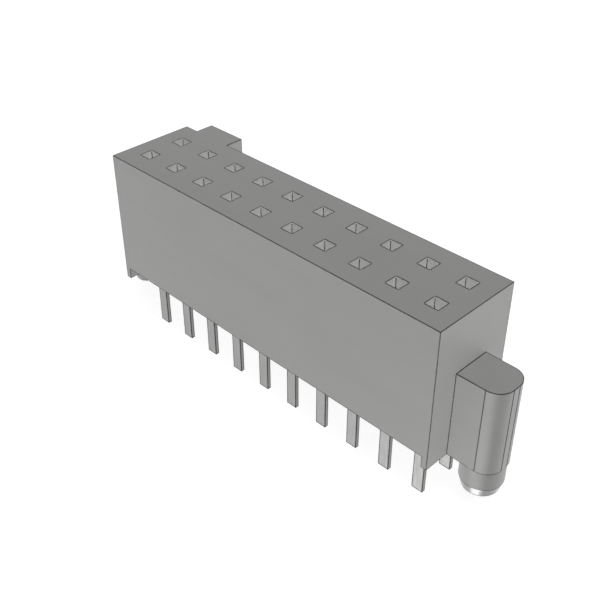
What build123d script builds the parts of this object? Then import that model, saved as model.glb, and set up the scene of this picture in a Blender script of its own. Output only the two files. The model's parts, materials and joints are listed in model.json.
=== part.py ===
from build123d import *
import os

# A two-row board-to-board socket: a moulded housing with a sprung contact under each pin entry.
# Sizes are in millimetres. The origin is the centre of the contact field on the board's surface,
# X runs along the rows, Y across them and Z up to the mating face.

# Contact field
contacts_per_row = 10
pitch = 2.0
row_spacing = 2.0
mating_pin = 0.5  # side of the square pin that plugs in
entry_clearance = 0.075  # round the pin as it passes the mating face

# Body of the housing
body_top = 7.2  # height of the mating face above the board
end_margin = 1.275  # from the last contact to the end face
side_margin = 1.375  # from a row to the long face
board_gap = 0.6  # air under the long walls, for solder and for cleaning
foot_thickness = 0.3  # the end walls alone reach down to the board
roof_thickness = 0.8  # plastic between the mating face and the contact chambers
slot_wall = 0.4  # plastic between neighbouring slots

# Polarising key on the back face, near the left end
key_setback = 0.825
key_width = 2.35
key_depth = 1.0

# Pegs that locate the housing on the board, and the end lugs that carry them
peg_offset = 2.5  # from the last contact to the peg
peg_radius = 1.0
peg_length = 1.5
peg_taper = 0.15
peg_tip_length = 0.5
lug_height = 4.4
lug_nose = 0.4  # flat between the two round corners at the lug's free end

# Sheet contact, formed from one strip
strip = 0.2
inner_bend = 0.1
tail_width = 0.6
tail_length = 3.0  # below the board's surface
jog_height = 0.85
wing_height = 0.6
barb_height = 0.06
barb_length = 0.3
barb_setback = 0.15  # from the wing's lower edge to the barb's heel
box_relief = 0.2  # cut between the wings and the folded box
box_height = 0.9
box_pin_gap = 0.15  # from the pin to the folded walls
wall_overrun = 0.1  # how far the folded walls pass the pin's face
beam_squeeze = 0.05  # how far the pin pushes each beam aside
beam_reach = 0.8  # from the pinch point up to the flared tips
beam_neck = 0.15  # straight start of each beam above the box
beam_tip_width = 0.36
beam_pinch_bend = 0.8  # inside radius where the beam touches the pin
mouth_margin = 0.1  # how far the flared tips stand outside the pin entry

# Room between a contact and the housing
base_recess = 0.25  # from the long walls' lower edge up to the contact's jog
slot_clearance = 0.02
chamber_clearance = 0.1
tip_clearance = 0.4

# Places in the housing
last_contact_x = (contacts_per_row - 1) * pitch / 2
body_length = 2 * (last_contact_x + end_margin)
body_depth = row_spacing + 2 * side_margin
peg_x = last_contact_x + peg_offset
peg_tip_radius = peg_radius - peg_taper
lug_width = 2 * peg_radius
lug_end_x = peg_x + peg_radius
pin_entry = mating_pin + 2 * entry_clearance
chamber_top = body_top - roof_thickness

# Places in the contact, whose pin stands on its own Z axis and whose back plate faces +Y
plate_front = mating_pin / 2 + box_pin_gap
plate_middle = plate_front + strip / 2
plate_back = plate_front + strip
wall_front = mating_pin / 2 + wall_overrun
neck_width = 2 * (plate_front - inner_bend)
slot_width = pitch - slot_wall
wing_width = slot_width - 2 * barb_height
jog_bottom = board_gap + base_recess
jog_top = jog_bottom + jog_height
wing_bottom = jog_top + inner_bend
barb_heel = wing_bottom + barb_setback
wing_top = wing_bottom + wing_height
box_bottom = wing_top + box_relief
box_top = box_bottom + box_height
beam_tip = chamber_top - tip_clearance
pinch_z = beam_tip - beam_reach
pinch_half_gap = mating_pin / 2 - beam_squeeze
mouth_half_gap = pin_entry / 2 + mouth_margin

# Sizes of the hollows that take the contact
chamber_side = 2 * (plate_back + chamber_clearance)
slot_depth = strip + 2 * slot_clearance

os.makedirs("parts", exist_ok=True)

# Housing
with BuildPart() as housing:
    # Locating peg with a tapered tip, at each end; the profile is its inner half, so the seam faces the tails
    with BuildSketch(Plane.XZ) as peg_profile:
        with BuildLine() as peg_outline:
            Polyline(
                (peg_x, 0),
                (peg_x - peg_radius, 0),
                (peg_x - peg_radius, peg_tip_length - peg_length),
                (peg_x - peg_tip_radius, -peg_length),
                (peg_x, -peg_length),
                close=True,
            )
        make_face()
    revolve(axis=Axis((peg_x, 0, 0), (0, 0, 1)))
    mirror(about=Plane.YZ)

    # End lugs, rounded at their free corners
    with BuildSketch() as lug_plan:
        Rectangle(2 * lug_end_x, lug_width)
        fillet(lug_plan.vertices(), radius=(lug_width - lug_nose) / 2)
        Rectangle(body_length, lug_width, mode=Mode.SUBTRACT)
    extrude(amount=lug_height)

    # End feet
    with BuildSketch() as feet_plan:
        Rectangle(body_length, body_depth)
        Rectangle(body_length - 2 * foot_thickness, body_depth, mode=Mode.SUBTRACT)
    extrude(amount=board_gap)

    # Body, with the key rib flush with its top
    with BuildSketch(Plane.XY.offset(board_gap)) as body_plan:
        Rectangle(body_length, body_depth)
        with Locations((key_setback - body_length / 2, body_depth / 2)):
            Rectangle(key_width, key_depth, align=(Align.MIN, Align.MIN))
    extrude(amount=body_top - board_gap)

    # Square pin entries through the roof
    with BuildSketch(Plane.XY.offset(chamber_top)) as entry_plan:
        with GridLocations(pitch, row_spacing, contacts_per_row, 2):
            Rectangle(pin_entry, pin_entry)
    extrude(amount=roof_thickness, mode=Mode.SUBTRACT)

    # Contact chambers, open to the board
    with BuildSketch(Plane.XY.offset(board_gap)) as chamber_plan:
        with GridLocations(pitch, row_spacing, contacts_per_row, 2):
            Rectangle(chamber_side, chamber_side)
    extrude(amount=chamber_top - board_gap, mode=Mode.SUBTRACT)

    # Slots that hold the contacts' wings, whose upper edges meet the ends of the slots
    with BuildSketch(Plane.XY.offset(board_gap)) as slot_plan:
        with GridLocations(pitch, row_spacing + 2 * plate_middle, contacts_per_row, 2):
            Rectangle(slot_width, slot_depth)
    extrude(amount=wing_top - board_gap, mode=Mode.SUBTRACT)

housing.part.label = "housing"
export_step(housing.part, "parts/housing.step")

# The contact's two spring beams: bent as seen from the front, tapered as seen from the side
with BuildPart() as beams:
    with BuildSketch(Plane.XZ) as beam_bends:
        with BuildLine() as beam_strip:
            FilletPolyline(
                (plate_front, box_bottom),
                (plate_front, box_top + beam_neck),
                (pinch_half_gap, pinch_z),
                (mouth_half_gap, beam_tip),
                radius=(0, beam_pinch_bend),
            )
            offset(amount=strip, side=Side.RIGHT, kind=Kind.INTERSECTION)
        make_face()
        mirror(about=Plane.YZ)
    extrude(amount=mating_pin / 2, both=True)
    with BuildSketch(Plane.YZ) as beam_taper:
        with BuildLine() as taper_outline:
            Polyline(
                (mating_pin / 2, box_bottom),
                (mating_pin / 2, box_top),
                (beam_tip_width / 2, beam_tip),
                (-beam_tip_width / 2, beam_tip),
                (-mating_pin / 2, box_top),
                (-mating_pin / 2, box_bottom),
                close=True,
            )
        make_face()
    extrude(amount=chamber_side / 2, both=True, mode=Mode.INTERSECT)

# The contact's tail, jog, base and back plate: bent as seen from the side, cut as seen from the front
with BuildPart() as base:
    with BuildSketch(Plane.YZ) as base_bends:
        with BuildLine() as base_strip:
            FilletPolyline(
                (-strip / 2, -tail_length),
                (-strip / 2, jog_bottom),
                (plate_front, jog_top),
                (plate_front, box_top),
                radius=(inner_bend + strip, inner_bend),
            )
            offset(amount=strip, side=Side.RIGHT)
        make_face()
    extrude(amount=slot_width / 2, both=True)
    with BuildSketch(Plane.XZ) as base_cut:
        with BuildLine() as base_outline:
            Polyline(
                (0, -tail_length),
                (tail_width / 2, -tail_length),
                (tail_width / 2, wing_bottom),
                (wing_width / 2, wing_bottom),
                (wing_width / 2, barb_heel),
                (slot_width / 2, barb_heel),
                (wing_width / 2, barb_heel + barb_length),
                (wing_width / 2, wing_top),
                (neck_width / 2, wing_top),
                (neck_width / 2, box_top),
                (0, box_top),
                close=True,
            )
        make_face()
        mirror(about=Plane.YZ)
    extrude(amount=chamber_side / 2, both=True, mode=Mode.INTERSECT)

# The whole contact, with the three-sided box that is folded up from its back plate
with BuildPart() as contact:
    with BuildSketch(Plane.XY.offset(box_bottom)) as box_plan:
        with BuildLine() as box_strip:
            FilletPolyline(
                (-plate_front, -wall_front),
                (-plate_front, plate_front),
                (plate_front, plate_front),
                (plate_front, -wall_front),
                radius=inner_bend,
            )
            offset(amount=strip, side=Side.LEFT)
        make_face()
    extrude(amount=box_height)
    add(beams.part)
    add(base.part)

# Two rows of the same contact, with the back plates facing outwards
for row, side, turn in (("front", -1, 180), ("back", 1, 0)):
    for place in range(contacts_per_row):
        contact_x = place * pitch - last_contact_x
        contact_y = side * row_spacing / 2
        piece = contact.part.moved(Location((contact_x, contact_y, 0), (0, 0, turn)))
        piece.label = f"contact_{row}_{place + 1:02d}"
        export_step(piece, f"parts/{piece.label}.step")
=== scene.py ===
import json
import math

import bpy
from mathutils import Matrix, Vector


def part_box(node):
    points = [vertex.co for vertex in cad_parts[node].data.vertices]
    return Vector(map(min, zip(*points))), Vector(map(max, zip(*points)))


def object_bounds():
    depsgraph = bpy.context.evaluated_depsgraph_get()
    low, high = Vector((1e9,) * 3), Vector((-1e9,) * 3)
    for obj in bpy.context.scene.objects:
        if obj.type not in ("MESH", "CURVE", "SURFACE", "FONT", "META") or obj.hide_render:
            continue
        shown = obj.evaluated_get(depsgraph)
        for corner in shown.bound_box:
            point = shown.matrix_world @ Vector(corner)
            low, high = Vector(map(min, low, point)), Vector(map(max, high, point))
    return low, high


# Looks of a board-to-board socket: a matte grey moulding with tin-plated sheet contacts, on a pale floor.
# Lengths are in metres and colours are linear.

MM = 0.001
WHITE = 1.0
WHITE_COLOUR = (1, 1, 1, 1)

# Camera: an isometric direction, aimed beside the socket's middle as the photograph is
CAMERA_AZIMUTH = 45
CAMERA_ELEVATION = math.degrees(math.atan(1 / math.sqrt(2)))
CAMERA_AIM = Vector((1.867, -1.365, 3.969)) * MM
CAMERA_DISTANCE = 42.668 * MM
CAMERA_NEAR = 1 * MM  # nothing closer than this is shown
CAMERA_FIELD = 35

# Studio: each lamp's light on a surface that faces it, where 1 shows a colour as it is written. The high
# lamp alone throws a shadow, on the floor. Of the others, four fill, one of them from straight below, and
# two more below the floor add only highlights: a pale band on the lugs' round corners and a small bright
# spot on the pegs' tips.
LAMPS = {
    "front_lamp": {"azimuth": -30, "elevation": 5, "light": 0.36},
    "left_lamp": {"azimuth": 285, "elevation": 5, "light": 0.45, "gloss": False},
    "end_lamp": {"azimuth": 135, "elevation": 5, "light": 0.75, "gloss": False},
    "under_lamp": {"azimuth": 0, "elevation": -90, "light": 0.30, "gloss": False},
    "band_lamp": {"azimuth": 10, "elevation": -50, "light": 1.10, "diffuse": False},
    "spot_lamp": {"azimuth": 5, "elevation": -78, "light": 0.42, "side": 150 * MM, "diffuse": False},
    "high_lamp": {"azimuth": 60, "elevation": 65, "light": 0.41, "shadow": True},
}
LAMP_DISTANCE = 400 * MM
LAMP_SIDE = 300 * MM
WORLD_LIGHT = 0.15

# Floor: pale paper to the object, and in the picture white where no shadow lies
FLOOR_COLOUR = 0.80
FLOOR_SHOWN_COLOUR = 0.40
FLOOR_GLOW = 0.80
FLOOR_FADE_START = 20 * MM
FLOOR_FADE_END = 70 * MM
FLOOR_SIDE = 2.0

# Moulded plastic, with the grain of its spark-eroded mould and faint flow marks along the body
PLASTIC_COLOUR = (0.315, 0.315, 0.311)
# Painted light: the walls of the pin entries are painted paler, to lift the shade that falls in them
ENTRY_PAINTED_LIGHT = 1.25  # how many times as pale the walls of the pin entries are
PLASTIC_ROUGHNESS = (0.42, 0.54)
PLASTIC_SPECULAR = 0.3
TIP_POLISH = 0.4  # roughness and grain of the pegs' polished tips, as a share of the rest
GRAIN_SIZE = 0.09 * MM
GRAIN_DEPTH = 0.004 * MM
GRAIN_DETAIL = 2
FLOW_SIZE = 1.6 * MM
FLOW_STRETCH = 4
FLOW_DETAIL = 3

# Tin plate, with rolling lines along the strip
TIN_COLOUR = (0.27, 0.27, 0.267)
TIN_ROUGHNESS = (0.30, 0.46)
LINE_SIZE = 0.03 * MM
LINE_STRETCH = 25
LINE_DEPTH = 0.001 * MM
LINE_DETAIL = 2

COLOUR_CHANGE = 0.05  # from a surface's darkest to its palest, as a share of its colour
NOISE_SPAN = (0.3, 0.7)  # where nearly all of a noise's values lie
SKIN = 0.001 * MM  # a face's own points surely lie within this of it

# Seams of the mould on each lug
LUG_NOSE = 0.4 * MM  # flat between the two round corners
SEAM_REACH = Vector((0.025, 0.035, 0)) * MM  # on each side of a seam's middle

# Dark line along every sharp edge
PLASTIC_EDGE_REACH = 0.06 * MM
ENTRY_EDGE_REACH = 0.10 * MM
TIN_EDGE_REACH = 0.08 * MM
EDGE_SAMPLES = 8
EDGE_SHADE = 0.04  # share of the colour that is left in the middle of a line
EDGE_START = 0.9997  # how far the rounded normal agrees with the face's own where a line starts
EDGE_FULL = 0.9975  # and where it is at its darkest


# Unit vector from the object, by azimuth from -Y towards +X and elevation, in degrees
def direction(azimuth, elevation):
    turn = math.radians(azimuth)
    rise = math.radians(elevation)
    return Vector((math.sin(turn) * math.cos(rise), -math.cos(turn) * math.cos(rise), math.sin(rise)))


# Puts a camera or a lamp into the scene, aimed at the target
def aim_at(thing, place, target):
    thing.location = place
    thing.rotation_euler = (target - place).to_track_quat("-Z", "Y").to_euler()
    bpy.context.scene.collection.objects.link(thing)


def add_camera():
    data = bpy.data.cameras.new("camera")
    data.sensor_fit = "HORIZONTAL"
    data.angle = math.radians(CAMERA_FIELD)
    data.clip_start = CAMERA_NEAR
    camera = bpy.data.objects.new("camera", data)
    back = direction(CAMERA_AZIMUTH, CAMERA_ELEVATION)
    aim_at(camera, CAMERA_AIM + back * CAMERA_DISTANCE, CAMERA_AIM)
    bpy.context.scene.camera = camera


# A lamp's power is what gives the target the light that its setting names. A lamp that throws no shadow
# also shines through the floor.
def add_lamp(
    name, target, azimuth, elevation, light, side=LAMP_SIDE, shadow=False, diffuse=True, gloss=True
):
    data = bpy.data.lights.new(name, "AREA")
    data.shape = "SQUARE"
    data.size = side
    data.energy = light * math.pi**2 * LAMP_DISTANCE**2
    data.use_shadow = shadow
    data.cycles.use_multiple_importance_sampling = shadow
    lamp = bpy.data.objects.new(name, data)
    lamp.visible_camera = False
    lamp.visible_diffuse = diffuse
    lamp.visible_glossy = gloss
    aim_at(lamp, target + direction(azimuth, elevation) * LAMP_DISTANCE, target)


# Adds a shader node, with its settings, and sets or links its inputs
def add_node(tree, kind, inputs=None, **settings):
    node = tree.nodes.new(kind)
    for name, value in settings.items():
        setattr(node, name, value)
    for key, value in (inputs or {}).items():
        if isinstance(value, bpy.types.NodeSocket):
            tree.links.new(value, node.inputs[key])
        else:
            node.inputs[key].default_value = value
    return node


def add_math(tree, operation, *values):
    inputs = dict(enumerate(values))
    return add_node(tree, "ShaderNodeMath", inputs, operation=operation).outputs["Value"]


def add_vector_math(tree, operation, *vectors, **numbers):
    inputs = {**dict(enumerate(vectors)), **numbers}
    return add_node(tree, "ShaderNodeVectorMath", inputs, operation=operation).outputs


def add_range(tree, value, from_low, from_high, to_low, to_high):
    inputs = {
        "Value": value,
        "From Min": from_low,
        "From Max": from_high,
        "To Min": to_low,
        "To Max": to_high,
    }
    return add_node(tree, "ShaderNodeMapRange", inputs).outputs["Result"]


# One for the rays that see the backdrop: the camera's own, and those that gloss and glass send on
def backdrop_rays(tree):
    rays = add_node(tree, "ShaderNodeLightPath").outputs
    seen = add_math(tree, "MAXIMUM", rays["Is Camera Ray"], rays["Is Glossy Ray"])
    return add_math(tree, "MAXIMUM", seen, rays["Is Transmission Ray"])


def add_world():
    world = bpy.data.worlds.new("studio")
    bpy.context.scene.world = world
    world.use_nodes = True
    tree = world.node_tree
    background = tree.nodes["Background"]
    background.inputs["Color"].default_value = WHITE_COLOUR
    strength = add_range(tree, backdrop_rays(tree), 0, 1, WORLD_LIGHT, WHITE)
    tree.links.new(strength, background.inputs["Strength"])


def new_material(name):
    material = bpy.data.materials.new(name)
    material.use_nodes = True
    return material, material.node_tree, material.node_tree.nodes["Principled BSDF"]


# The floor shows from above only, so that the underside can be looked at too
def floor_material():
    material, tree, shader = new_material("floor")
    shown = backdrop_rays(tree)
    shade = add_range(tree, shown, 0, 1, FLOOR_COLOUR, FLOOR_SHOWN_COLOUR)
    tree.links.new(shade, shader.inputs["Base Color"])
    shader.inputs["Roughness"].default_value = 1
    shader.inputs["Specular IOR Level"].default_value = 0
    shader.inputs["Emission Color"].default_value = WHITE_COLOUR
    place = add_node(tree, "ShaderNodeTexCoord").outputs["Object"]
    distance = add_vector_math(tree, "LENGTH", place)["Value"]
    glow = add_range(tree, distance, FLOOR_FADE_START, FLOOR_FADE_END, FLOOR_GLOW, WHITE)
    tree.links.new(add_math(tree, "MULTIPLY", shown, glow), shader.inputs["Emission Strength"])
    underneath = add_node(tree, "ShaderNodeNewGeometry").outputs["Backfacing"]
    tree.links.new(add_math(tree, "SUBTRACT", 1, underneath), shader.inputs["Alpha"])
    return material


def add_floor(height):
    half = FLOOR_SIDE / 2
    corners = [(x * half, y * half, height) for x, y in ((-1, -1), (1, -1), (1, 1), (-1, 1))]
    mesh = bpy.data.meshes.new("floor")
    mesh.from_pydata(corners, [], [range(len(corners))])
    mesh.materials.append(floor_material())
    floor = bpy.data.objects.new("floor", mesh)
    bpy.context.scene.collection.objects.link(floor)


# Noise of the given size in the object's own place, stretched by a factor along each axis
def add_noise(tree, size, stretch, detail):
    place = add_node(tree, "ShaderNodeTexCoord").outputs["Object"]
    scale = [1 / factor for factor in stretch]
    scaled = add_node(tree, "ShaderNodeMapping", {"Vector": place, "Scale": scale}).outputs["Vector"]
    inputs = {"Vector": scaled, "Scale": 1 / size, "Detail": detail}
    return add_node(tree, "ShaderNodeTexNoise", inputs).outputs["Fac"]


def add_noise_range(tree, noise, low, high):
    return add_range(tree, noise, *NOISE_SPAN, low, high)


# One inside the box and nought outside it, in the object's own place. A mirrored box stands in all four
# quarters round Z.
def add_box_mask(tree, low, high, mirrored=False):
    place = add_node(tree, "ShaderNodeTexCoord").outputs["Object"]
    x, y, z = add_node(tree, "ShaderNodeSeparateXYZ", {"Vector": place}).outputs
    if mirrored:
        x = add_math(tree, "ABSOLUTE", x)
        y = add_math(tree, "ABSOLUTE", y)
    mask = 1.0
    for part, least, most in zip((x, y, z), low, high):
        above = add_math(tree, "GREATER_THAN", part, least)
        below = add_math(tree, "LESS_THAN", part, most)
        mask = add_math(tree, "MULTIPLY", mask, add_math(tree, "MULTIPLY", above, below))
    return mask


# One along the sharp edges and nought on the faces between them
def add_edge_mask(tree, reach):
    rounded = add_node(tree, "ShaderNodeBevel", {"Radius": reach}, samples=EDGE_SAMPLES).outputs["Normal"]
    face = add_node(tree, "ShaderNodeNewGeometry").outputs["Normal"]
    agreement = add_vector_math(tree, "DOT_PRODUCT", rounded, face)["Value"]
    return add_range(tree, agreement, EDGE_START, EDGE_FULL, 0, 1)


# Sets the shader's colour to the given one, with the noise's slight change of shade, the dark lines where
# their mask is one, and a further factor, which on the plastic is painted light that makes the walls of
# the pin entries paler
def set_colour(tree, shader, colour, noise, lines, shade=1.0):
    change = add_noise_range(tree, noise, 1 - COLOUR_CHANGE / 2, 1 + COLOUR_CHANGE / 2)
    line_shade = add_range(tree, lines, 0, 1, 1, EDGE_SHADE)
    factor = add_math(tree, "MULTIPLY", add_math(tree, "MULTIPLY", change, line_shade), shade)
    shaded = add_vector_math(tree, "SCALE", colour, Scale=factor)["Vector"]
    tree.links.new(shaded, shader.inputs["Base Color"])


def set_relief(tree, shader, height, depth):
    bump = add_node(tree, "ShaderNodeBump", {"Height": height, "Distance": depth})
    tree.links.new(bump.outputs["Normal"], shader.inputs["Normal"])


# How far the plastic's edge lines reach. A line round a pin entry lies on the mating face alone, since the
# entry's near walls are hidden from above.
def add_plastic_reach(tree, entries):
    low, high = entries
    rim_low = Vector((*low.xy, high.z - PLASTIC_EDGE_REACH))
    face_low = Vector((*low.xy, high.z))
    face_high = high + Vector((0, 0, 2 * SKIN))
    on_face = add_box_mask(tree, face_low, face_high)
    below_rim = add_math(tree, "SUBTRACT", 1, add_box_mask(tree, rim_low, high))
    reach = add_range(tree, on_face, 0, 1, PLASTIC_EDGE_REACH, ENTRY_EDGE_REACH)
    return add_math(tree, "MULTIPLY", reach, below_rim)


# The walls of the pin entries are painted paler than the outer faces, painted light that lifts the shade
# falling in them, and the pegs' tips are polished. The entries and the tips come as boxes, and each seam
# as its foot and its top.
def plastic_material(entries, tips, seams):
    material, tree, shader = new_material("moulded_plastic")
    grain = add_noise(tree, GRAIN_SIZE, (1, 1, 1), GRAIN_DETAIL)
    flow = add_noise(tree, FLOW_SIZE, (FLOW_STRETCH, 1, 1), FLOW_DETAIL)
    # Painted light on the walls of the pin entries, lifting the shade that falls in them
    entry_painted_light = add_range(tree, add_box_mask(tree, *entries), 0, 1, 1, ENTRY_PAINTED_LIGHT)
    lines = add_edge_mask(tree, add_plastic_reach(tree, entries))
    for foot, top in seams:
        seam = add_box_mask(tree, foot - SEAM_REACH, top + SEAM_REACH, mirrored=True)
        lines = add_math(tree, "MAXIMUM", lines, seam)
    set_colour(tree, shader, PLASTIC_COLOUR, flow, lines, entry_painted_light)
    polish = add_range(tree, add_box_mask(tree, *tips), 0, 1, 1, TIP_POLISH)
    roughness = add_noise_range(tree, grain, *PLASTIC_ROUGHNESS)
    tree.links.new(add_math(tree, "MULTIPLY", roughness, polish), shader.inputs["Roughness"])
    shader.inputs["Specular IOR Level"].default_value = PLASTIC_SPECULAR
    set_relief(tree, shader, grain, add_math(tree, "MULTIPLY", GRAIN_DEPTH, polish))
    return material


def tin_material():
    material, tree, shader = new_material("tin_plate")
    rolling = add_noise(tree, LINE_SIZE, (1, 1, LINE_STRETCH), LINE_DETAIL)
    set_colour(tree, shader, TIN_COLOUR, rolling, add_edge_mask(tree, TIN_EDGE_REACH))
    shader.inputs["Metallic"].default_value = 1
    tree.links.new(add_noise_range(tree, rolling, *TIN_ROUGHNESS), shader.inputs["Roughness"])
    set_relief(tree, shader, rolling, LINE_DEPTH)
    return material


# The box round the walls of all the pin entries: as wide and as deep as the contacts together, and from
# their top up to the mating face
def entry_box(contact_boxes, mating_face):
    lows, highs = zip(*contact_boxes)
    low = Vector(min(side) for side in zip(*lows))
    high = Vector(max(side) for side in zip(*highs))
    low.z = high.z
    high.z = mating_face - SKIN
    return low, high


# The foot and the top of each seam, where a lug's flat side and its flat nose run into a round corner
def lug_seams(lug_side, lug_end, top):
    nose_side = LUG_NOSE / 2
    corner_radius = lug_side - nose_side
    places = ((lug_end - corner_radius, lug_side), (lug_end, nose_side))
    return [(Vector((x, y, 0)), Vector((x, y, top))) for x, y in places]


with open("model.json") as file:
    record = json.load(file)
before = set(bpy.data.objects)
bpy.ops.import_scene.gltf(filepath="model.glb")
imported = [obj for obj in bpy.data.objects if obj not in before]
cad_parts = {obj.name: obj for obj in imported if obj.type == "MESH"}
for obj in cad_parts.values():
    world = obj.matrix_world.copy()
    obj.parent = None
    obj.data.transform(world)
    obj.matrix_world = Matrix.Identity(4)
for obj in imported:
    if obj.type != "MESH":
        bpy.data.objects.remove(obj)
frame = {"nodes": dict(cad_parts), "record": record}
cad_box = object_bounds()
bpy.context.scene.view_settings.view_transform = "Standard"
cad_low, cad_high = cad_box

add_camera()
add_world()
for lamp_name, lamp in LAMPS.items():
    add_lamp(lamp_name, (cad_low + cad_high) / 2, **lamp)
add_floor(cad_low.z)

# Each lug is as wide as the peg under it. The peg tapers below its straight length, whose middle the mount
# gives.
mounts = {mount["name"]: mount for mount in frame["record"]["mounts"]}
peg = mounts["right_peg"]
lug_side = peg["dims"]["r_mm"] * MM
taper_top = Vector(peg["pos_m"]).z - peg["dims"]["length_mm"] / 2 * MM

entries = entry_box([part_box(name) for name in frame["nodes"] if name != "housing"], cad_high.z)
tips = (cad_low, Vector((*cad_high.xy, taper_top)))
seams = lug_seams(lug_side, cad_high.x, cad_high.z)

plastic = plastic_material(entries, tips, seams)
tin = tin_material()
for name, node in frame["nodes"].items():
    node.data.materials.clear()
    node.data.materials.append(plastic if name == "housing" else tin)
